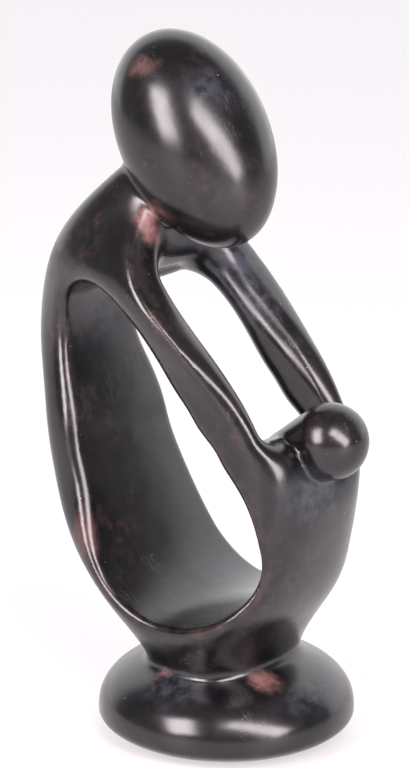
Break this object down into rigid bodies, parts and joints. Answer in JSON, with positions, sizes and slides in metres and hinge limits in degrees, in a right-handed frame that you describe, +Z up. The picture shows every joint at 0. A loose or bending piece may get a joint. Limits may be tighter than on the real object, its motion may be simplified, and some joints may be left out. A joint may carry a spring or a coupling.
{
  "type": "stone sculpture",
  "caption": "Abstract carved figure of a seated mother holding a child, with an open ring-shaped body and a round foot, in black polished stone.",
  "frame": {"origin": "middle of the flat underside of the round foot", "axes": "+Z up, the figures face -Y, and +X is the mother's left"},
  "size_m": [0.103, 0.1527, 0.2783],
  "materials": {
    "stone": "polished"
  },
  "bodies": {
    "root": {"sculpture": "stone"}
  },
  "joints": []
}
